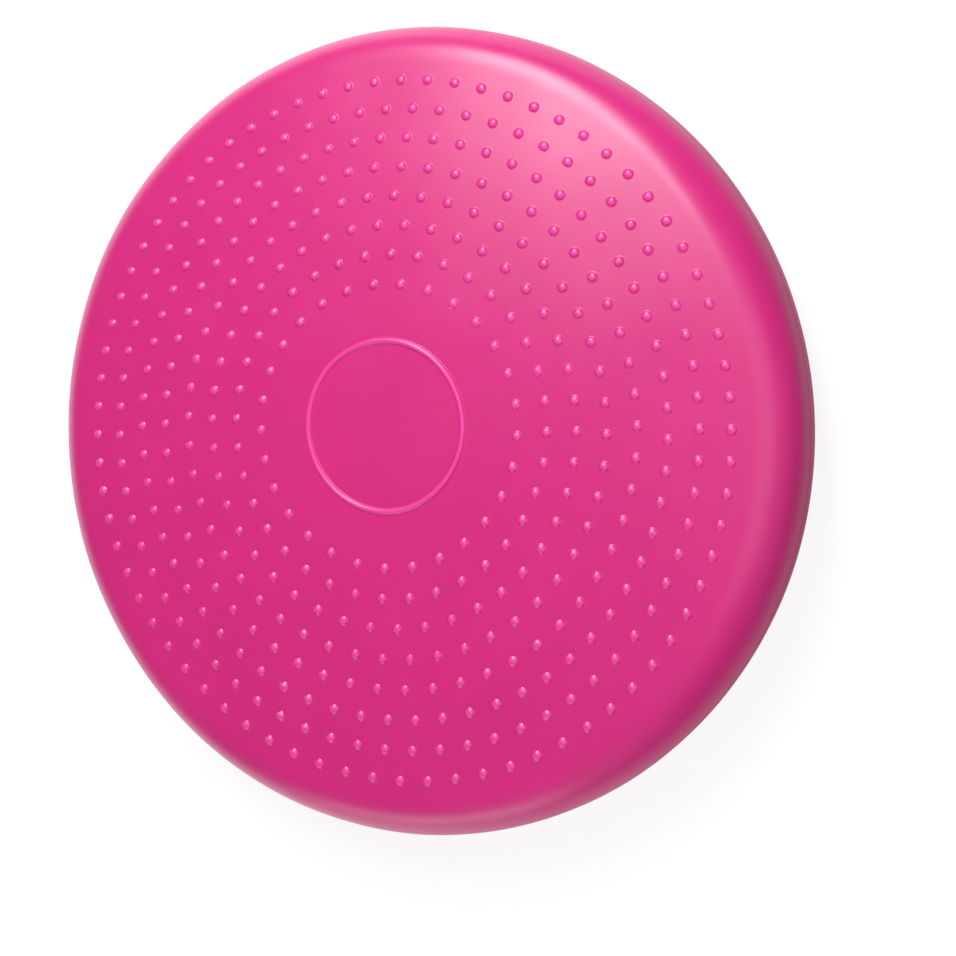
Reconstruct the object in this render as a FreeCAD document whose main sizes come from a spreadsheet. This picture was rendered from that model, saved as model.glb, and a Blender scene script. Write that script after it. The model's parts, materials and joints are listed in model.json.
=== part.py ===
import FreeCAD, Part
import math
import os

import Sketcher

# A wobble cushion: a round, air-filled PVC skin with a domed face, a domed underside and a fat
# rounded rim. The face has a plain middle inside a moulded ring, and outside it eight rings of
# small massage nubs. A needle valve sits in the rim. The skin is built as its two halves, which
# meet at the mould's parting line, because the face tilts on the foot when someone stands on it.
#
# Frame: millimetres and degrees, +Z up, origin at the centre of the underside, where it stands on
# the floor.
# The valve's mouth points to -X, at the height of the parting line, which is called the equator.

# Driving dimensions, in millimetres: alias, value, meaning.
DIMENSIONS = [
    ("overall_radius", 165.0, "outside radius at the equator"),
    ("half_height", 33.5, "equator to the crown of the dome"),
    ("dome_radius", 1050.0, "radius of the shallow dome of the face and of the underside"),
    ("corner_radius", 18.0, "radius between the dome and the side of the rim"),
    ("side_radius", 64.0, "radius of the side of the rim, in section"),
    ("wall", 3.5, "thickness of the skin"),
    ("foot_flat", 2.5, "how far the underside is pressed flat where it stands"),
    ("ring_radius", 34.0, "radius of the moulded ring in the middle"),
    ("ring_bead", 1.3, "section radius of that ring"),
    ("ring_proud", 0.9, "how far the ring stands off the face"),
    ("groove_depth", 0.7, "depth of the same ring let into the underside"),
    ("nub_radius", 3.0, "ball radius of a nub"),
    ("nub_proud", 0.9, "how far a nub stands off the face"),
    ("nub_pitch", 11.95, "from ring to ring, and the least pitch along a ring"),
    ("nub_first_ring", 56.7, "radius of the innermost ring of nubs"),
    ("boss_radius", 9.0, "radius of the thick spot inside the rim, around the valve"),
    ("boss_reach", 6.0, "how far the thick spot reaches inwards from the skin"),
    ("seat_radius", 7.5, "radius of the flat spot under the valve's flange"),
    ("seat_depth", 1.4, "depth of the flat spot below the rim"),
    ("sleeve_radius", 5.0, "outside radius of the valve sleeve"),
    ("sleeve_gap", 0.05, "radial gap, filled with glue, between sleeve and skin"),
    ("sleeve_reach", 14.0, "how far the sleeve reaches inwards from the flat spot"),
    ("flange_radius", 7.0, "radius of the sleeve's flange"),
    ("flange_thick", 1.4, "thickness of the sleeve's flange"),
    ("flange_rounding", 0.6, "rounding of the flange's outer edge"),
    ("plug_radius", 3.0, "radius of the rubber plug in the sleeve"),
    ("head_radius", 4.0, "radius of the plug's head, let into the flange"),
    ("head_thick", 0.7, "thickness of the plug's head"),
    ("lip_radius", 3.8, "radius of the lip that keeps the plug in, at its inner end"),
    ("lip_thick", 2.0, "length of that lip"),
    ("needle_radius", 1.05, "radius of the hole that takes the pump's needle"),
    ("needle_depth", 10.0, "depth of that hole"),
]
# Each ring of nubs starts at its own angle from the +X side, in degrees, innermost ring first.
NUB_STARTS = [-1.5, 0.5, 1.0, 0.5, 2.5, 0.0, 2.0, 2.0]
for ring, start in enumerate(NUB_STARTS, start=1):
    DIMENSIONS.append((f"nub_start_{ring}", start, f"angle of the first nub in ring {ring}"))
FULL_TURN = 360
HALF_TURN = 180
SAME_PLACE = 1e-6

# How Sketcher numbers the points of a curve, its two axes and its origin.
START, END, CENTRE = 1, 2, 3
H_AXIS, V_AXIS = -1, -2
ORIGIN = (H_AXIS, START)

doc = FreeCAD.newDocument("wobble_cushion")
sheet = doc.addObject("Spreadsheet::Sheet", "Sheet")
for row, (alias, value, meaning) in enumerate(DIMENSIONS, start=1):
    sheet.set(f"A{row}", meaning)
    sheet.set(f"B{row}", str(value))
    sheet.setAlias(f"B{row}", alias)
doc.recompute()
dim = {alias: sheet.get(alias) for alias, value, meaning in DIMENSIONS}


# ---- small helpers ----


def new_body(label):
    """A body whose own origin is on the cushion's axis, at the equator."""
    body = doc.addObject("PartDesign::Body", label)
    body.Label = label
    body.setExpression("Placement.Base.z", "Sheet.half_height - Sheet.foot_flat")
    return body


def origin_feature(body, role):
    """One of the body's own origin planes or axes."""
    for feature in body.Origin.OriginFeatures:
        if feature.Role == role:
            return feature
    raise ValueError(role)


def new_sketch(body, name):
    """A sketch on the body's XZ plane: its x is the body's x, its y the body's z."""
    sketch = body.newObject("Sketcher::SketchObject", name)
    sketch.AttachmentSupport = [(origin_feature(body, "XZ_Plane"), "")]
    sketch.MapMode = "FlatFace"
    return sketch


def length(plus, minus=()):
    """A length made of sheet cells: its value now, and the expression that drives it."""
    value = sum(dim[alias] for alias in plus) - sum(dim[alias] for alias in minus)
    text = " + ".join(f"Sheet.{alias}" for alias in plus)
    return value, text + "".join(f" - Sheet.{alias}" for alias in minus)


def hold(sketch, kind, *where, driven_by=None):
    """Adds a constraint, and ties it to the sheet if a length drives it."""
    if driven_by is None:
        sketch.addConstraint(Sketcher.Constraint(kind, *where))
        return
    value, expression = driven_by
    number = sketch.addConstraint(Sketcher.Constraint(kind, *where, value))
    sketch.setExpression(f"Constraints[{number}]", expression)


def line(sketch, first, last):
    ends = [FreeCAD.Vector(*point, 0) for point in (first, last)]
    return sketch.addGeometry(Part.LineSegment(*ends), False)


def full_circle(centre, radius):
    return Part.Circle(FreeCAD.Vector(*centre, 0), FreeCAD.Vector(0, 0, 1), radius)


def arc(sketch, centre, radius, first_angle, last_angle):
    """An arc that runs anticlockwise between two angles, in radians."""
    curve = Part.ArcOfCircle(full_circle(centre, radius), first_angle, last_angle)
    return sketch.addGeometry(curve, False)


def turned(body, kind, sketch, axis="V_Axis"):
    """A full turn of a sketch about one of its own axes: a Revolution or a Groove."""
    feature = body.newObject(f"PartDesign::{kind}", f"{sketch.Name}_turned")
    feature.Profile = sketch
    feature.ReferenceAxis = (sketch, [axis])
    feature.Angle = FULL_TURN
    return feature


# ---- the skin ----


def corner_centre():
    """Centre of the corner arc, which touches the dome and the rim's side from within."""
    dome_y = dim["half_height"] - dim["dome_radius"]
    side_x = dim["overall_radius"] - dim["side_radius"]
    to_dome = dim["dome_radius"] - dim["corner_radius"]
    to_side = dim["side_radius"] - dim["corner_radius"]
    apart = math.hypot(side_x, dome_y)
    along = (to_dome**2 - to_side**2 + apart**2) / (2 * apart)
    across = math.sqrt(to_dome**2 - along**2)
    unit_x, unit_y = side_x / apart, -dome_y / apart
    return along * unit_x + across * unit_y, dome_y + along * unit_y - across * unit_x


def half_outline(body, name, inset, has_foot):
    """Half the cushion's section, from its axis out to the rim and from the equator up.

    inset lists the sheet cells by which the outline lies inside the skin's outer surface.
    has_foot cuts the dome off level, as it is where the cushion stands.
    """
    inside = length(inset)[0]
    dome_y = dim["half_height"] - dim["dome_radius"]
    side_x = dim["overall_radius"] - dim["side_radius"]
    corner = corner_centre()
    side_end = math.atan2(corner[1], corner[0] - side_x)
    corner_end = math.atan2(corner[1] - dome_y, corner[0])
    dome_radius = dim["dome_radius"] - inside
    top = length(("half_height",), inset + (("foot_flat",) if has_foot else ()))
    top_x = math.sqrt(max(dome_radius**2 - (top[0] - dome_y) ** 2, 0.0))
    dome_end = math.atan2(top[0] - dome_y, top_x)

    sketch = new_sketch(body, name)
    side = arc(sketch, (side_x, 0), dim["side_radius"] - inside, 0, side_end)
    bend = arc(sketch, corner, dim["corner_radius"] - inside, side_end, corner_end)
    dome = arc(sketch, (0, dome_y), dome_radius, corner_end, dome_end)
    axis = line(sketch, (0, top[0]), (0, 0))
    equator = line(sketch, (0, 0), (dim["overall_radius"] - inside, 0))

    hold(sketch, "Tangent", side, END, bend, START)
    hold(sketch, "Tangent", bend, END, dome, START)
    hold(sketch, "Coincident", axis, END, *ORIGIN)
    hold(sketch, "Coincident", equator, START, *ORIGIN)
    hold(sketch, "Coincident", equator, END, side, START)
    hold(sketch, "Vertical", axis)
    hold(sketch, "Horizontal", equator)
    hold(sketch, "PointOnObject", side, CENTRE, H_AXIS)
    hold(sketch, "PointOnObject", dome, CENTRE, V_AXIS)
    hold(sketch, "Radius", side, driven_by=length(("side_radius",), inset))
    hold(sketch, "Radius", bend, driven_by=length(("corner_radius",), inset))
    hold(sketch, "Radius", dome, driven_by=length(("dome_radius",), inset))
    side_centre = length(("overall_radius",), ("side_radius",))
    hold(sketch, "DistanceX", *ORIGIN, side, CENTRE, driven_by=side_centre)
    dome_centre = length(("dome_radius",), ("half_height",))
    hold(sketch, "DistanceY", dome, CENTRE, *ORIGIN, driven_by=dome_centre)
    if not has_foot:
        hold(sketch, "Coincident", dome, END, axis, START)
        return sketch
    foot = line(sketch, (top_x, top[0]), (0, top[0]))
    hold(sketch, "Horizontal", foot)
    hold(sketch, "Coincident", dome, END, foot, START)
    hold(sketch, "Coincident", foot, END, axis, START)
    hold(sketch, "DistanceY", *ORIGIN, foot, END, driven_by=top)
    return sketch


def half_skin(label, has_foot):
    """One half of the hollow skin, open at the equator and domed towards its own +Z."""
    body = new_body(label)
    turned(body, "Revolution", half_outline(body, f"{label}_outside", (), has_foot))
    turned(body, "Groove", half_outline(body, f"{label}_inside", ("wall",), has_foot))
    return body


def ring_section(body, name, height):
    """The round section of the moulded ring, with its centre at the given height."""
    sketch = new_sketch(body, name)
    centre = (dim["ring_radius"], height[0])
    ring = sketch.addGeometry(full_circle(centre, dim["ring_bead"]), False)
    hold(sketch, "Radius", ring, driven_by=length(("ring_bead",)))
    hold(sketch, "DistanceX", *ORIGIN, ring, CENTRE, driven_by=length(("ring_radius",)))
    hold(sketch, "DistanceY", *ORIGIN, ring, CENTRE, driven_by=height)
    return sketch


def raised_ring(body):
    """The moulded ring on the face: a bead that stands off the dome."""
    over_centre = math.sqrt(dim["dome_radius"] ** 2 - dim["ring_radius"] ** 2)
    lift, lift_text = length(("half_height", "ring_proud"), ("dome_radius", "ring_bead"))
    over_text = "sqrt(pow(Sheet.dome_radius; 2) - pow(Sheet.ring_radius; 2))"
    height = (over_centre + lift, f"{over_text} + {lift_text}")
    turned(body, "Revolution", ring_section(body, "face_ring", height))


def sunk_ring(body):
    """The same ring in the underside, let in so that the cushion stands flat."""
    height = length(("half_height", "ring_bead"), ("foot_flat", "groove_depth"))
    turned(body, "Groove", ring_section(body, "foot_ring", height))


def nub_ring(body, number):
    """One ring of nubs, each square to the dome, as many as fit at the least pitch."""
    radius = f"(Sheet.nub_first_ring + {number} * Sheet.nub_pitch)"
    out = "(1 + (Sheet.nub_proud - Sheet.nub_radius) / Sheet.dome_radius)"
    start = f"(Sheet.nub_start_{number + 1} * 1 deg)"
    rise = f"sqrt(pow(Sheet.dome_radius; 2) - pow({radius}; 2)) * {out}"

    # The upper half of a ball: its flat side stays inside the skin's wall.
    nub = body.newObject("PartDesign::AdditiveSphere", f"nub_{number + 1}")
    nub.Angle1 = 0
    nub.setExpression("Radius", "Sheet.nub_radius")
    nub.setExpression("Placement.Base.x", f"{radius} * {out} * cos({start})")
    nub.setExpression("Placement.Base.y", f"{radius} * {out} * sin({start})")
    nub.setExpression("Placement.Base.z", f"{rise} - Sheet.dome_radius + Sheet.half_height")

    pattern = body.newObject("PartDesign::PolarPattern", f"nub_ring_{number + 1}")
    pattern.Originals = [nub]
    pattern.Axis = (origin_feature(body, "Z_Axis"), [""])
    pattern.Angle = FULL_TURN
    pattern.setExpression("Occurrences", f"floor(2 * pi * {radius} / Sheet.nub_pitch)")
    body.Tip = pattern


def valve_cylinder(body, kind, name, radius, reach, x):
    """A cylinder that runs inwards, along +X, from x."""
    cylinder = body.newObject(f"PartDesign::{kind}Cylinder", f"{body.Label}_{name}")
    quarter_turn = FreeCAD.Rotation(FreeCAD.Vector(0, 1, 0), 90)
    cylinder.Placement = FreeCAD.Placement(FreeCAD.Vector(), quarter_turn)
    cylinder.setExpression("Radius", radius)
    cylinder.setExpression("Height", reach)
    cylinder.setExpression("Placement.Base.x", x)
    return cylinder


def valve_opening(body):
    """The thick spot inside the rim, the flat spot outside it, and the hole through both."""
    boss = valve_cylinder(
        body, "Additive", "valve_boss",
        radius="Sheet.boss_radius",
        reach="Sheet.boss_reach",
        x="Sheet.wall - Sheet.overall_radius",
    )
    # The thick spot is half a cylinder, on this half's side of the equator.
    to_this_side = FreeCAD.Rotation(FreeCAD.Vector(1, 0, 0), 90)
    boss.Placement.Rotation = to_this_side * boss.Placement.Rotation
    boss.Angle = HALF_TURN
    valve_cylinder(
        body, "Subtractive", "valve_seat",
        radius="Sheet.seat_radius",
        reach="2 * Sheet.seat_depth",
        x="-Sheet.overall_radius - Sheet.seat_depth",
    )
    valve_cylinder(
        body, "Subtractive", "valve_hole",
        radius="Sheet.sleeve_radius + Sheet.sleeve_gap",
        reach="2 * (Sheet.wall + Sheet.boss_reach)",
        x="-Sheet.overall_radius - Sheet.wall",
    )


def upper_skin():
    body = half_skin("upper_skin", has_foot=False)
    valve_opening(body)
    raised_ring(body)
    for number in range(len(NUB_STARTS)):
        nub_ring(body, number)


def lower_skin():
    """The foot half, built the same way up as the face half and then turned over."""
    body = half_skin("lower_skin", has_foot=True)
    valve_opening(body)
    sunk_ring(body)
    body.Placement.Rotation = FreeCAD.Rotation(FreeCAD.Vector(1, 0, 0), HALF_TURN)


# ---- the valve ----


def valve_piece(label, corners):
    """A piece turned about the valve's own axis, on a body whose origin is the valve's mouth.

    Each corner is (how far in from the mouth, radius), given as the sheet cells to add up.
    """
    body = new_body(label)
    mouth = "Sheet.seat_depth - Sheet.flange_thick - Sheet.overall_radius"
    body.setExpression("Placement.Base.x", mouth)
    sketch = new_sketch(body, f"{label}_outline")
    places = [(length(along), length(out)) for along, out in corners]
    for side, (along, out) in enumerate(places):
        next_along, next_out = places[(side + 1) % len(places)]
        line(sketch, (along[0], out[0]), (next_along[0], next_out[0]))
    for side, (along, out) in enumerate(corners):
        hold(sketch, "Coincident", side, END, (side + 1) % len(corners), START)
        if along:
            hold(sketch, "DistanceX", *ORIGIN, side, START, driven_by=length(along))
        else:
            hold(sketch, "PointOnObject", side, START, V_AXIS)
        if out:
            hold(sketch, "DistanceY", *ORIGIN, side, START, driven_by=length(out))
        else:
            hold(sketch, "PointOnObject", side, START, H_AXIS)
    turned(body, "Revolution", sketch, axis="H_Axis")
    return body


def round_edge(body, radius, along, cell):
    """Rounds the circular edge of the given radius, at the given distance from the mouth."""
    doc.recompute()
    base = body.Tip
    names = [
        f"Edge{number}"
        for number, edge in enumerate(base.Shape.Edges, start=1)
        if isinstance(edge.Curve, Part.Circle)
        and math.isclose(edge.Curve.Radius, radius, abs_tol=SAME_PLACE)
        and math.isclose(edge.Curve.Center.x, along, abs_tol=SAME_PLACE)
    ]
    rounding = body.newObject("PartDesign::Fillet", f"{body.Label}_rounding")
    rounding.Base = (base, names)
    rounding.setExpression("Radius", f"Sheet.{cell}")


def valve_sleeve():
    """The moulded sleeve that is glued into the rim and carries the rubber plug."""
    inner_end = ("flange_thick", "sleeve_reach")
    body = valve_piece(
        "valve_sleeve",
        [
            ((), ("head_radius",)),
            ((), ("flange_radius",)),
            (("flange_thick",), ("flange_radius",)),
            (("flange_thick",), ("sleeve_radius",)),
            (inner_end, ("sleeve_radius",)),
            (inner_end, ("plug_radius",)),
            (("head_thick",), ("plug_radius",)),
            (("head_thick",), ("head_radius",)),
        ],
    )
    round_edge(body, dim["flange_radius"], 0, "flange_rounding")


def valve_plug():
    """The self-sealing rubber plug: a blind hole guides the pump's needle into it."""
    sleeve_end = ("flange_thick", "sleeve_reach")
    inner_end = sleeve_end + ("lip_thick",)
    valve_piece(
        "valve_plug",
        [
            ((), ("needle_radius",)),
            ((), ("head_radius",)),
            (("head_thick",), ("head_radius",)),
            (("head_thick",), ("plug_radius",)),
            (sleeve_end, ("plug_radius",)),
            (sleeve_end, ("lip_radius",)),
            (inner_end, ("lip_radius",)),
            (inner_end, ()),
            (("needle_depth",), ()),
            (("needle_depth",), ("needle_radius",)),
        ],
    )


# ---- writing the files ----


def write_parts():
    """Checks the document, then writes each body to its own file."""
    doc.recompute()
    for item in doc.Objects:
        if "Invalid" in item.State or "Error" in item.State:
            raise RuntimeError(f"{item.Label} failed: {item.State}")
    os.makedirs("parts", exist_ok=True)
    for item in doc.Objects:
        if item.TypeId != "PartDesign::Body":
            continue
        if item.Shape.isNull() or not item.Shape.isValid():
            raise RuntimeError(f"{item.Label} has no sound shape")
        item.Shape.exportStep(f"parts/{item.Label}.step")


upper_skin()
lower_skin()
valve_sleeve()
valve_plug()
write_parts()
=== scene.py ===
import json
import math

import bpy
import numpy as np
from mathutils import Matrix, Vector


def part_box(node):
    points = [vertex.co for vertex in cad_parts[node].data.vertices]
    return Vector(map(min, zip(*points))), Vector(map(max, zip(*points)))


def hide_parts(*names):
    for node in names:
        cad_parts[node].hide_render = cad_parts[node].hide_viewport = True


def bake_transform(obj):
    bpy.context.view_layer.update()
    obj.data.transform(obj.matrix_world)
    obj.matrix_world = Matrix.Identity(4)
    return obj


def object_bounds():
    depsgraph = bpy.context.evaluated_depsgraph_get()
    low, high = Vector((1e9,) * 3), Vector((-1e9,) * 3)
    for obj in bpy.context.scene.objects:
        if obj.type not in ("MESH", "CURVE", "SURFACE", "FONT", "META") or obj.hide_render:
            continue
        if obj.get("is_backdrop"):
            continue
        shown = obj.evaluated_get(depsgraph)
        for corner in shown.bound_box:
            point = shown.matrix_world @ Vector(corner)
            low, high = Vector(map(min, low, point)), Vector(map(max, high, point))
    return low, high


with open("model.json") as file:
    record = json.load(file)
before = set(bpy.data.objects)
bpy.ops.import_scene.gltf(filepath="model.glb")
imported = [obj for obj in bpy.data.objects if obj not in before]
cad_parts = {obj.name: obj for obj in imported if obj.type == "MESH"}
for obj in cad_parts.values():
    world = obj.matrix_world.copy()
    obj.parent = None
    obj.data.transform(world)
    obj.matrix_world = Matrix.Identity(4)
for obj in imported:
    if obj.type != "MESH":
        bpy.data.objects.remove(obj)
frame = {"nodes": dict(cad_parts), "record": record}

# A wobble cushion of soft PVC, lying on a pale floor with its nubbed face up.
# Metres, +Z up, origin at the centre of the underside. "Equator" is the parting line's height.

MM = 0.001
CAD_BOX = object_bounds()

# ---- sizes ----

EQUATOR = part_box("lower_skin")[1].z
RADIUS = (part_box("lower_skin")[1].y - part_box("lower_skin")[0].y) / 2
HALF_HEIGHT = 33.5 * MM
DOME = 1050.0 * MM
CORNER = 18.0 * MM
SIDE = 64.0 * MM
WALL = 3.5 * MM
FOOT_BLEND = 0.3 * MM                   # softens the edge of the flat foot, in height

RING_RADIUS = 34.0 * MM
RING_BEAD = 1.3 * MM
RING_PROUD = 0.9 * MM
RING_FILLET = 0.5 * MM
GROOVE_DEPTH = 0.7 * MM

NUB_STARTS = [-1.5, 0.5, 1.0, 0.5, 2.5, 0.0, 2.0, 2.0]     # degrees, innermost ring first
NUB_PITCH = 11.95 * MM
NUB_FIRST_RING = 56.7 * MM
NUB_BALL = 3.0 * MM
NUB_PROUD = 0.9 * MM
NUB_FILLET = 0.5 * MM

FLASH_PROUD = 0.10 * MM                 # the trimmed flash on the parting line
FLASH_HALF_WIDTH = 0.35 * MM

SEAT_RADIUS = 7.5 * MM
SEAT_DEPTH = 1.4 * MM
HOLE_RADIUS = 5.05 * MM

# ---- mesh fineness ----

CELL_SHARE = 0.42                       # a nub's cell reaches this share of the pitch either side
ARC_STEPS = 6                           # mesh steps along a cell's inner and outer arcs
SIDE_STEPS = 4                          # mesh steps along a cell's straight sides
INNER_WALL_STEPS = 96
RIM_STEPS = ARC_STEPS * math.floor(2 * math.pi * (NUB_FIRST_RING / NUB_PITCH + len(NUB_STARTS) - 1))


# ---- the outline: each half is drawn from the equator up, in its own frame ----


def corner_centre():
    """Centre of the corner arc, which touches the dome and the rim's side from within."""
    dome_z = HALF_HEIGHT - DOME
    side_r = RADIUS - SIDE
    apart = math.hypot(side_r, dome_z)
    along = ((DOME - CORNER) ** 2 - (SIDE - CORNER) ** 2 + apart**2) / (2 * apart)
    across = math.sqrt((DOME - CORNER) ** 2 - along**2)
    unit_r, unit_z = side_r / apart, -dome_z / apart
    return along * unit_r + across * unit_z, dome_z + along * unit_z - across * unit_r


CORNER_R, CORNER_Z = corner_centre()
CORNER_TOP = math.atan2(CORNER_Z + DOME - HALF_HEIGHT, CORNER_R)
CORNER_FOOT = math.atan2(CORNER_Z, CORNER_R - RADIUS + SIDE)
SHOULDER = CORNER_R + CORNER * math.cos(CORNER_TOP)        # where the dome ends


def soft_least(a, b, width):
    """The lesser of two heights, rounded over where they are nearly equal."""
    near = max(width - abs(a - b), 0.0) / width
    return min(a, b) - near * near * width / 4


def on_dome(x, y, lift, has_foot):
    """A point of the dome over (x, y), lifted off it at right angles."""
    rise = math.sqrt(DOME**2 - x * x - y * y)
    share = 1 + lift / DOME
    if not has_foot:
        return x * share, y * share, rise * share + HALF_HEIGHT - DOME
    level = soft_least(rise + HALF_HEIGHT - DOME, EQUATOR, FOOT_BLEND)
    return x * share, y * share, level + lift


def bump_section(ball, proud, fillet, ball_steps, fillet_steps):
    """(distance from the middle, lift) down a round bump that meets the face in a fillet."""
    sunk = ball - proud
    tangent = math.acos((fillet + sunk) / (ball + fillet))
    section = []
    for step in range(ball_steps + 1):
        angle = tangent * step / ball_steps
        section.append((ball * math.sin(angle), ball * math.cos(angle) - sunk))
    foot = (ball + fillet) * math.sin(tangent)
    for step in range(1, fillet_steps + 1):
        angle = tangent * (1 - step / fillet_steps)
        section.append((foot - fillet * math.sin(angle), fillet * (1 - math.cos(angle))))
    section.append((foot + 0.25 * MM, 0.0))
    return section


def rim_section(inset, corner_steps, side_steps, has_flash):
    """(radius, height) from the shoulder down to the equator."""
    section = []
    for step in range(corner_steps + 1):
        angle = CORNER_TOP + (CORNER_FOOT - CORNER_TOP) * step / corner_steps
        reach = CORNER - inset
        section.append((CORNER_R + reach * math.cos(angle), CORNER_Z + reach * math.sin(angle)))
    last = FLASH_HALF_WIDTH / SIDE if has_flash else 0.0
    for step in range(1, side_steps + 1):
        angle = CORNER_FOOT + (last - CORNER_FOOT) * step / side_steps
        reach = SIDE - inset
        section.append((RADIUS - SIDE + reach * math.cos(angle), reach * math.sin(angle)))
    if has_flash:
        section.append((RADIUS + 0.8 * FLASH_PROUD, 0.6 * FLASH_HALF_WIDTH))
        section.append((RADIUS + FLASH_PROUD, 0.0))
    return section


# ---- the net: points and faces, ring by ring from the crown outwards ----


class Net:
    """Points and faces of one half of the skin. Rings run anticlockwise seen from above."""

    def __init__(self):
        self.points = []
        self.faces = []

    def add(self, point):
        self.points.append(point)
        return len(self.points) - 1

    def circle(self, radius, height, count, start=0.0):
        """A ring of points: (their numbers, the first one's angle)."""
        numbers = []
        for step in range(count):
            angle = start + 2 * math.pi * step / count
            numbers.append(self.add((radius * math.cos(angle), radius * math.sin(angle), height)))
        return numbers, start

    def join(self, inner, outer):
        """Faces between two closed rings, matched by angle if their counts differ."""
        (inside, inside_start), (outside, outside_start) = inner, outer
        if len(inside) == len(outside) and inside_start == outside_start:
            for here in range(len(inside)):
                after = (here + 1) % len(inside)
                self.faces.append((inside[here], outside[here], outside[after], inside[after]))
            return
        in_step = 2 * math.pi / len(inside)
        out_step = 2 * math.pi / len(outside)
        first = round((inside_start - outside_start) / out_step)
        i, j = 0, 0
        while i < len(inside) or j < len(outside):
            here_in = inside[i % len(inside)]
            here_out = outside[(first + j) % len(outside)]
            next_in = inside_start + (i + 1) * in_step
            next_out = outside_start + (first + j + 1) * out_step
            if j == len(outside) or (i < len(inside) and next_in <= next_out):
                i += 1
                self.faces.append((here_in, here_out, inside[i % len(inside)]))
            else:
                j += 1
                self.faces.append((here_in, here_out, outside[(first + j) % len(outside)]))

    def cap(self, pole, ring, outwards=True):
        """A fan of triangles between a point and a ring."""
        numbers = ring[0]
        for here in range(len(numbers)):
            pair = (numbers[here], numbers[(here + 1) % len(numbers)])
            self.faces.append((pole, *pair) if outwards else (pole, *reversed(pair)))

    def mesh(self, name):
        mesh = bpy.data.meshes.new(name)
        mesh.from_pydata(self.points, [], self.faces)
        mesh.update()
        return mesh


def dome_ring(net, radius, lift, count, start, has_foot):
    numbers = []
    for step in range(count):
        angle = start + 2 * math.pi * step / count
        x, y = radius * math.cos(angle), radius * math.sin(angle)
        numbers.append(net.add(on_dome(x, y, lift, has_foot)))
    return numbers, start


def centre_disc(net, last_radius, last_count, start, has_foot):
    """The plain middle and the moulded ring, out to last_radius. Returns its outermost ring."""
    pole = net.add(on_dome(0, 0, 0, has_foot))
    ring = dome_ring(net, 3 * MM, 0, 12, start, has_foot)
    net.cap(pole, ring)
    levels = [(radius * MM, 0, share) for radius, share in ((8, 6), (13, 3), (19, 3), (25, 1.5))]
    if has_foot:
        section = bump_section(RING_BEAD, GROOVE_DEPTH, RING_FILLET, 4, 3)
        section = [(out, -lift) for out, lift in section]
    else:
        section = bump_section(RING_BEAD, RING_PROUD, RING_FILLET, 4, 3)
    levels += [(RING_RADIUS - 4 * MM, 0, 1)]
    levels += [(RING_RADIUS - out, lift, 1) for out, lift in reversed(section)]
    levels += [(RING_RADIUS + out, lift, 1) for out, lift in section[1:]]
    radius = RING_RADIUS + 4 * MM
    while radius < last_radius - 1 * MM:
        levels.append((radius, 0, 1))
        radius += 3.5 * MM
    levels.append((last_radius, 0, 1))
    for radius, lift, share in levels:
        outer = dome_ring(net, radius, lift, round(last_count / share), start, has_foot)
        net.join(ring, outer)
        ring = outer
    return ring


# ---- the nubs ----


def cell_outline(radius, angle, width):
    """(radius, angle) round one nub's cell, anticlockwise from its inner clockwise corner.

    The outline runs out along the clockwise side, back along the outer arc, and so on.
    """
    inner, outer = radius - CELL_SHARE * NUB_PITCH, radius + CELL_SHARE * NUB_PITCH
    low, high = angle - width / 2, angle + width / 2
    outline = []
    for step in range(SIDE_STEPS):
        outline.append((inner + (outer - inner) * step / SIDE_STEPS, low))
    for step in range(ARC_STEPS):
        outline.append((outer, low + (high - low) * step / ARC_STEPS))
    for step in range(SIDE_STEPS):
        outline.append((outer + (inner - outer) * step / SIDE_STEPS, high))
    for step in range(ARC_STEPS):
        outline.append((inner, high + (low - high) * step / ARC_STEPS))
    return outline


def nub(net, radius, angle, rim, section):
    """One nub inside the ring of points that bounds its cell."""
    centre_x, centre_y = radius * math.cos(angle), radius * math.sin(angle)
    turns = []
    for number in rim:
        x, y, z = net.points[number]
        turns.append(math.atan2(y - centre_y, x - centre_x))
    pole = net.add(on_dome(centre_x, centre_y, section[0][1], False))
    inside = None
    for out, lift in section[1:]:
        ring = []
        for turn in turns:
            x, y = centre_x + out * math.cos(turn), centre_y + out * math.sin(turn)
            ring.append(net.add(on_dome(x, y, lift, False)))
        if inside is None:
            net.cap(pole, (ring, 0))
        else:
            net.join((inside, 0), (ring, 0))
        inside = ring
    net.join((inside, 0), (rim, 0))


def nub_ring(net, radius, start, section):
    """A ring of cells, each with its nub. Returns the ring's inner and outer edges."""
    count = math.floor(2 * math.pi * radius / NUB_PITCH)
    width = 2 * math.pi / count
    corners = SIDE_STEPS + ARC_STEPS
    inner_edge, outer_edge = [], []
    first_side, last_side = None, None
    for number in range(count):
        angle = start + number * width
        outline = cell_outline(radius, angle, width)
        places = [None] * len(outline)
        if last_side:
            places[: SIDE_STEPS + 1] = last_side
        if number == count - 1:
            places[corners : corners + SIDE_STEPS + 1] = reversed(first_side)
        for step, (out, turn) in enumerate(outline):
            if places[step] is None:
                x, y = out * math.cos(turn), out * math.sin(turn)
                places[step] = net.add(on_dome(x, y, 0, False))
        if first_side is None:
            first_side = places[: SIDE_STEPS + 1]
        last_side = places[corners : corners + SIDE_STEPS + 1][::-1]
        nub(net, radius, angle, places, section)
        outer_edge += places[SIDE_STEPS:corners]
        inner_edge += [places[0]] + places[corners + SIDE_STEPS + 1 :][::-1]
    return (inner_edge, start - width / 2), (outer_edge, start - width / 2)


# ---- the skin's two halves ----


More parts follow.
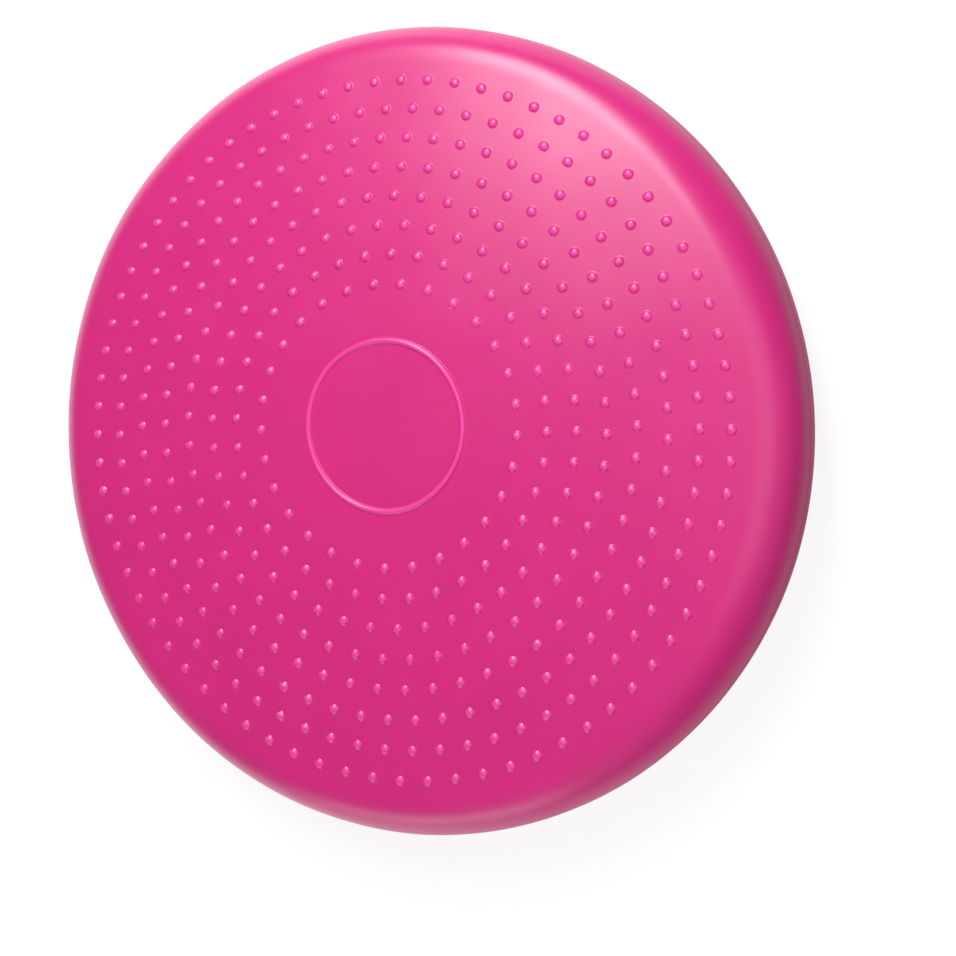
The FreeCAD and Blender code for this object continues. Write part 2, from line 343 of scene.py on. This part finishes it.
def rim_and_inside(net, ring, start, has_foot):
    """The rim down to the equator, then the inner wall back up to the axis."""
    for radius, height in rim_section(0, 14, 5, True):
        outer = net.circle(radius, height, RIM_STEPS, start)
        net.join(ring, outer)
        ring = outer
    for radius, height in reversed(rim_section(WALL, 8, 4, False)):
        outer = net.circle(radius, height, INNER_WALL_STEPS, start)
        net.join(ring, outer)
        ring = outer
    dome = DOME - WALL
    level = EQUATOR - WALL if has_foot else HALF_HEIGHT - WALL
    for share in (0.8, 0.6, 0.4, 0.2):
        radius = SHOULDER * share
        height = min(math.sqrt(dome**2 - radius**2) + HALF_HEIGHT - DOME, level)
        outer = net.circle(radius, height, INNER_WALL_STEPS, start)
        net.join(ring, outer)
        ring = outer
    net.cap(net.add((0, 0, level)), ring, outwards=False)


def face_half():
    net = Net()
    section = bump_section(NUB_BALL, NUB_PROUD, NUB_FILLET, 4, 3)
    edge = None
    for number, start in enumerate(NUB_STARTS):
        radius = NUB_FIRST_RING + number * NUB_PITCH
        inner, outer = nub_ring(net, radius, math.radians(start), section)
        if edge is None:
            last = radius - (1 - CELL_SHARE) * NUB_PITCH
            edge = centre_disc(net, last, len(inner[0]), inner[1], False)
        net.join(edge, inner)
        edge = outer
    plain = dome_ring(net, edge_radius(len(NUB_STARTS)), 0, RIM_STEPS, edge[1], False)
    net.join(edge, plain)
    rim_and_inside(net, plain, edge[1], False)
    return net.mesh("upper_skin_shape")


def edge_radius(ring):
    """Halfway between the outermost cells and the shoulder."""
    outermost = NUB_FIRST_RING + (ring - 1 + CELL_SHARE) * NUB_PITCH
    return (outermost + SHOULDER) / 2


def foot_half():
    net = Net()
    steps = RIM_STEPS // 2
    edge = centre_disc(net, 52 * MM, steps, 0.0, True)
    radius = 56 * MM
    while radius < SHOULDER - 2 * MM:
        outer = dome_ring(net, radius, 0, steps, 0.0, True)
        net.join(edge, outer)
        edge = outer
        radius += 2 * MM if radius < 76 * MM else 6 * MM
    rim_and_inside(net, edge, 0.0, True)
    mesh = net.mesh("lower_skin_shape")
    mesh.transform(Matrix.Rotation(math.pi, 4, "X"))
    return mesh


# ---- how a blown-up soft skin departs from the drawing ----


def smooth_step(value, low, high):
    share = np.clip((value - low) / (high - low), 0.0, 1.0)
    return share * share * (3 - 2 * share)


def soften(mesh):
    """Broad, very shallow undulations of the outside, none at the parting line or the floor."""
    count = len(mesh.vertices)
    points = np.empty(count * 3)
    normals = np.empty(count * 3)
    mesh.vertices.foreach_get("co", points)
    mesh.vertex_normals.foreach_get("vector", normals)
    points = points.reshape(-1, 3)
    normals = normals.reshape(-1, 3)
    wave = np.zeros(count)
    for number in range(7):
        turn = 2.4 * number
        length = (52 + 11 * number) * MM
        direction = np.array([math.cos(turn), math.sin(turn), 0.6 * math.sin(1.7 * turn)])
        wave += np.sin(2 * math.pi * (points @ direction) / length + 1.3 * number)
    height = np.abs(points[:, 2])
    outside = (points * normals).sum(axis=1) > 0
    share = smooth_step(height, 4 * MM, 12 * MM) * outside
    lowest = points[:, 2] + EQUATOR
    share *= np.where(points[:, 2] < 0, smooth_step(lowest, 0.5 * MM, 4 * MM), 1.0)
    points += normals * (wave * share * 0.045 * MM)[:, None]
    mesh.vertices.foreach_set("co", points.ravel())
    mesh.update()


def cylinder(name, radius, first_x, last_x, steps):
    """A solid cylinder about the valve's axis, used to cut the skin."""
    net = Net()
    rings = []
    for x in (first_x, last_x):
        ring = []
        for step in range(steps):
            angle = 2 * math.pi * (step + 0.5) / steps
            ring.append(net.add((x, radius * math.cos(angle), radius * math.sin(angle))))
        rings.append((ring, 0))
    net.join(rings[1], rings[0])
    net.faces.append(tuple(reversed(rings[0][0])))
    net.faces.append(tuple(rings[1][0]))
    cutter = bpy.data.objects.new(name, net.mesh(name))
    bpy.context.scene.collection.objects.link(cutter)
    return cutter


def cut(obj, cutter):
    """Takes the cutter out of the object for good."""
    modifier = obj.modifiers.new("cut", "BOOLEAN")
    modifier.operation = "DIFFERENCE"
    modifier.solver = "EXACT"
    modifier.object = cutter
    bpy.context.view_layer.update()
    evaluated = obj.evaluated_get(bpy.context.evaluated_depsgraph_get())
    mesh = bpy.data.meshes.new_from_object(evaluated)
    obj.modifiers.remove(modifier)
    obj.data = mesh
    bpy.data.objects.remove(cutter)


def mark_raised(mesh):
    """Stores how far up a nub or the ring each point lies, 0 to 1, for the material, which uses it
    to paint a highlight on their tops.
    """
    places = np.empty(3 * len(mesh.vertices))
    mesh.vertices.foreach_get("co", places)
    x, y, z = places.reshape(-1, 3).T
    radius = np.hypot(x, y)
    lift = z + DOME - HALF_HEIGHT - np.sqrt(DOME**2 - radius**2)
    tallest = np.where(radius > NUB_FIRST_RING - NUB_BALL, NUB_PROUD, RING_PROUD)
    share = np.clip(lift / tallest, 0, 1)
    mesh.attributes.new("raised", "FLOAT", "POINT").data.foreach_set("value", share)


def skin_half(name, mesh, nodes):
    """Shapes, cuts and places one half of the skin."""
    soften(mesh)
    obj = bpy.data.objects.new(name, mesh)
    bpy.context.scene.collection.objects.link(obj)
    cut(obj, cylinder("seat_cutter", SEAT_RADIUS, -RADIUS - 5 * MM, SEAT_DEPTH - RADIUS, 96))
    cut(obj, cylinder("hole_cutter", HOLE_RADIUS, -RADIUS - 5 * MM, 3 * WALL - RADIUS, 72))
    mark_raised(obj.data)
    obj.data.transform(Matrix.Translation((0, 0, EQUATOR)))
    obj.data.polygons.foreach_set("use_smooth", [True] * len(obj.data.polygons))
    obj.data.set_sharp_from_angle(angle=math.radians(42))
    obj.data.update()
    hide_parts(*nodes)
    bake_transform(obj)
    return obj


UPPER = skin_half(
    "moulded_face", face_half(), ["upper_skin"],
)
LOWER = skin_half(
    "moulded_foot", foot_half(), ["lower_skin"],
)


# ---- materials ----


class Shader:
    """A material's node tree, written as short lines."""

    def __init__(self, name):
        self.material = bpy.data.materials.new(name)
        self.material.use_nodes = True
        self.tree = self.material.node_tree
        self.tree.nodes.clear()
        self.surface = self.tree.nodes.new("ShaderNodeBsdfPrincipled")
        output = self.tree.nodes.new("ShaderNodeOutputMaterial")
        self.tree.links.new(self.surface.outputs[0], output.inputs["Surface"])
        self.place = self.tree.nodes.new("ShaderNodeTexCoord").outputs["Object"]

    def set(self, **values):
        for key, value in values.items():
            self.surface.inputs[key.replace("_", " ")].default_value = value

    def link(self, output, name):
        self.tree.links.new(output, self.surface.inputs[name])

    def noise(self, per_metre, detail=2.0, roughness=0.5):
        node = self.tree.nodes.new("ShaderNodeTexNoise")
        node.inputs["Scale"].default_value = per_metre
        node.inputs["Detail"].default_value = detail
        node.inputs["Roughness"].default_value = roughness
        self.tree.links.new(self.place, node.inputs["Vector"])
        return node.outputs["Fac"]

    def map_range(self, source, first, last, low, high):
        """Maps first to last onto low to high, and holds the ends beyond them."""
        node = self.tree.nodes.new("ShaderNodeMapRange")
        for index, value in enumerate((first, last, low, high), start=1):
            node.inputs[index].default_value = value
        self.tree.links.new(source, node.inputs[0])
        return node.outputs[0]

    def spread(self, source, low, high):
        """The middle of a noise or a height, 0.3 to 0.7, mapped onto low to high."""
        return self.map_range(source, 0.3, 0.7, low, high)

    def blend_colours(self, share, first, second):
        """Mixes two colours; either may be three numbers or another node's output."""
        node = self.tree.nodes.new("ShaderNodeMix")
        node.data_type = "RGBA"
        for name, colour in (("A", first), ("B", second)):
            if isinstance(colour, bpy.types.NodeSocket):
                self.tree.links.new(colour, node.inputs[name])
            else:
                node.inputs[name].default_value = (*colour, 1)
        self.tree.links.new(share, node.inputs["Factor"])
        return node.outputs["Result"]

    def stored(self, name):
        """A number stored on the mesh's points."""
        node = self.tree.nodes.new("ShaderNodeAttribute")
        node.attribute_name = name
        return node.outputs["Fac"]

    def bump(self, *layers):
        """Stacks bumps, each (height source, depth in metres)."""
        normal = None
        for source, depth in layers:
            node = self.tree.nodes.new("ShaderNodeBump")
            node.inputs["Strength"].default_value = 1.0
            node.inputs["Distance"].default_value = depth
            self.tree.links.new(source, node.inputs["Height"])
            if normal:
                self.tree.links.new(normal, node.inputs["Normal"])
            normal = node.outputs["Normal"]
        self.link(normal, "Normal")


def coloured(name):
    """The record's base colour of a slot."""
    for entry in frame["record"]["materials"]:
        if entry["slot"] == name:
            return entry["base_color"]
    raise ValueError(name)


def shade(colour, share):
    return tuple(min(1.0, part * share) for part in colour)


HIGHLIGHT_PINK = (0.92, 0.055, 0.36)         # painted highlight: the paler pink that the tops of the nubs and the ring are mixed to, for the glow the light gives them


def skin_material():
    """Soft PVC with a satin moulded surface."""
    pink = coloured("skin")
    shader = Shader("pink_pvc")
    tone = shader.spread(shader.noise(28, 3), 0.0, 1.0)
    plain = shader.blend_colours(tone, shade(pink, 0.97), shade(pink, 1.03))
    # painted highlight: the tops of the nubs and the ring are mixed towards a paler pink
    painted_highlight = shader.spread(shader.stored("raised"), 0.0, 1.0)
    shader.link(shader.blend_colours(painted_highlight, plain, HIGHLIGHT_PINK), "Base Color")
    shader.link(shader.spread(shader.noise(40, 2), 0.32, 0.36), "Roughness")
    shader.set(Subsurface_Weight=0.08, Subsurface_Scale=0.003)
    shader.surface.inputs["Subsurface Radius"].default_value = (1.0, 0.3, 0.4)
    shader.surface.inputs["Specular IOR Level"].default_value = 0.8
    shader.bump((shader.noise(1500, 2), 0.000006), (shader.noise(220, 2), 0.00001))
    return shader.material


def sleeve_material():
    """The valve sleeve: harder, duller PVC in a darker pink."""
    pink = coloured("sleeve")
    shader = Shader("sleeve_pvc")
    tone = shader.spread(shader.noise(400, 3), 0.0, 1.0)
    shader.link(shader.blend_colours(tone, shade(pink, 0.9), shade(pink, 1.1)), "Base Color")
    shader.link(shader.spread(shader.noise(900, 3), 0.45, 0.6), "Roughness")
    shader.bump((shader.noise(3000, 2), 0.00001))
    return shader.material


def plug_material():
    """Black rubber, with the grey bloom of talc."""
    shader = Shader("plug_rubber")
    bloom = shader.spread(shader.noise(900, 4, 0.7), 0.0, 1.0)
    dark = coloured("plug")
    shader.link(shader.blend_colours(bloom, dark, shade(dark, 2.2)), "Base Color")
    shader.link(shader.spread(shader.noise(1500, 2), 0.6, 0.8), "Roughness")
    shader.bump((shader.noise(5000, 2), 0.000015))
    return shader.material


PINK = skin_material()
for half in (UPPER, LOWER):
    half.data.materials.clear()
    half.data.materials.append(PINK)
for node, material in (("valve_sleeve", sleeve_material()), ("valve_plug", plug_material())):
    frame["nodes"][node].data.materials.clear()
    frame["nodes"][node].data.materials.append(material)


# ---- floor, light and camera ----

LIGHT_DISTANCE = 1.5
FLOOR_HALF_WIDTH = 12.0
PAPER_WHITE = (0.9, 0.9, 0.9)           # what the cushion sees on its left: glowing paper, painted light and reflection for its left rim
PAINTED_DARK_SIDE = (0.08, 0.06, 0.07)          # what the cushion sees on its right: painted dark, so that no light or reflection reaches its right rim from there
PAPER_SEEN = (0.2, 0.2, 0.2)            # what the camera sees, before the glow is added
GLOW_SEEN = 4.25                        # glow of the paper, times its colour, for the camera
GLOW_AROUND = 0.4                       # the same for the cushion


def floor():
    """Pale glowing paper, so that the shadow stays faint. To the cushion it glows white on the left
    and is painted dark on the right, as painted light and reflection for the rims.
    """
    half = FLOOR_HALF_WIDTH
    corners = [(-half, -half, 0), (half, -half, 0), (half, half, 0), (-half, half, 0)]
    mesh = bpy.data.meshes.new("floor")
    mesh.from_pydata(corners, [], [(0, 1, 2, 3)])
    obj = bpy.data.objects.new("floor", mesh)
    bpy.context.scene.collection.objects.link(obj)
    shader = Shader("floor_paper")
    shader.set(Roughness=0.8)
    split = shader.tree.nodes.new("ShaderNodeSeparateXYZ")
    shader.tree.links.new(shader.place, split.inputs[0])
    side = shader.map_range(split.outputs["X"], -50 * MM, 250 * MM, 0.0, 1.0)
    # painted reflection: the paper as the cushion sees it, glowing white on its left and dark on
    # its right
    around = shader.blend_colours(side, PAPER_WHITE, PAINTED_DARK_SIDE)
    seen = shader.tree.nodes.new("ShaderNodeLightPath").outputs["Is Camera Ray"]
    paper = shader.blend_colours(seen, around, PAPER_SEEN)
    shader.link(paper, "Base Color")
    shader.link(paper, "Emission Color")
    shader.link(shader.map_range(seen, 0.0, 1.0, GLOW_AROUND, GLOW_SEEN), "Emission Strength")
    obj.data.materials.append(shader.material)
    obj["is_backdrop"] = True


def studio():
    """A dim white room, which the camera sees as a bright backdrop."""
    world = bpy.data.worlds.new("studio")
    world.use_nodes = True
    nodes, links = world.node_tree.nodes, world.node_tree.links
    strength = nodes.new("ShaderNodeMapRange")
    strength.inputs["To Min"].default_value = 0.12
    strength.inputs["To Max"].default_value = 0.9
    links.new(nodes.new("ShaderNodeLightPath").outputs["Is Camera Ray"], strength.inputs["Value"])
    links.new(strength.outputs["Result"], nodes["Background"].inputs["Strength"])
    nodes["Background"].inputs["Color"].default_value = (1, 1, 1, 1)
    bpy.context.scene.world = world


def softbox(name, azimuth, elevation, width, height, power, mirrored=True):
    """An upright area light that faces the cushion from LIGHT_DISTANCE away, angles in degrees."""
    light = bpy.data.lights.new(name, "AREA")
    light.shape = "RECTANGLE"
    light.size, light.size_y = width, height
    light.energy = power
    turn, rise = math.radians(azimuth), math.radians(elevation)
    level = math.cos(rise)
    back = Vector((level * math.cos(turn), level * math.sin(turn), math.sin(rise)))
    obj = bpy.data.objects.new(name, light)
    obj.location = Vector((0, 0, EQUATOR)) + LIGHT_DISTANCE * back
    obj.rotation_euler = back.to_track_quat("Z", "Y").to_euler()
    obj.visible_glossy = mirrored
    bpy.context.scene.collection.objects.link(obj)


def shift_at_standpoint(data, obj, amount):
    """Raises the picture as a shift lens does, but only where the camera stands now.

    The shift fades out within 50 mm of the standpoint, so that the cushion stays in the middle
    when the camera is moved to look at its other sides.
    """
    standpoint = bpy.data.objects.new("standpoint", None)
    standpoint.matrix_world = obj.matrix_world
    bpy.context.scene.collection.objects.link(standpoint)
    curve = data.driver_add("shift_y")
    curve.driver.type = "SUM"
    distance = curve.driver.variables.new()
    distance.type = "LOC_DIFF"
    distance.targets[0].id = obj
    distance.targets[1].id = standpoint
    curve.modifiers.remove(curve.modifiers[0])
    curve.keyframe_points.add(2)
    for point, place in zip(curve.keyframe_points, ((0, amount), (50 * MM, 0))):
        point.co = place
        point.interpolation = "LINEAR"
    curve.extrapolation = "CONSTANT"
    curve.update()


def camera(place, lean_x, lean_y, focal_length, shift):
    """A camera that looks straight down with +Y up, then leans about +Y and then about +X."""
    data = bpy.data.cameras.new("camera")
    data.lens = focal_length
    data.sensor_width = 36
    data.shift_x = shift[0]
    data.clip_start = 0.01
    obj = bpy.data.objects.new("camera", data)
    lean = Matrix.Rotation(lean_x, 4, "X") @ Matrix.Rotation(lean_y, 4, "Y")
    obj.matrix_world = Matrix.Translation(place) @ lean
    bpy.context.scene.collection.objects.link(obj)
    bpy.context.scene.camera = obj
    shift_at_standpoint(data, obj, shift[1])


floor()
studio()
bpy.context.scene.view_settings.view_transform = "Standard"
softbox("key", 97, 50, 0.6, 1.1, 22)
softbox("low_fill", 270, 25, 1.2, 1.2, 3.5, mirrored=False)
softbox("side_fill", 0, 58, 1.2, 1.2, 4.2)
softbox("rim_fill", -10, 10, 1.2, 1.2, 5, mirrored=False)
softbox("low_shine", 257, 13, 1.0, 0.5, 3)
camera((0.3505, 0.0405, 0.8112), math.radians(4.55), math.radians(23.63), 77.23, (0.0358, -0.3155))

[[list(corner) for corner in box] for box in (CAD_BOX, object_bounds())]
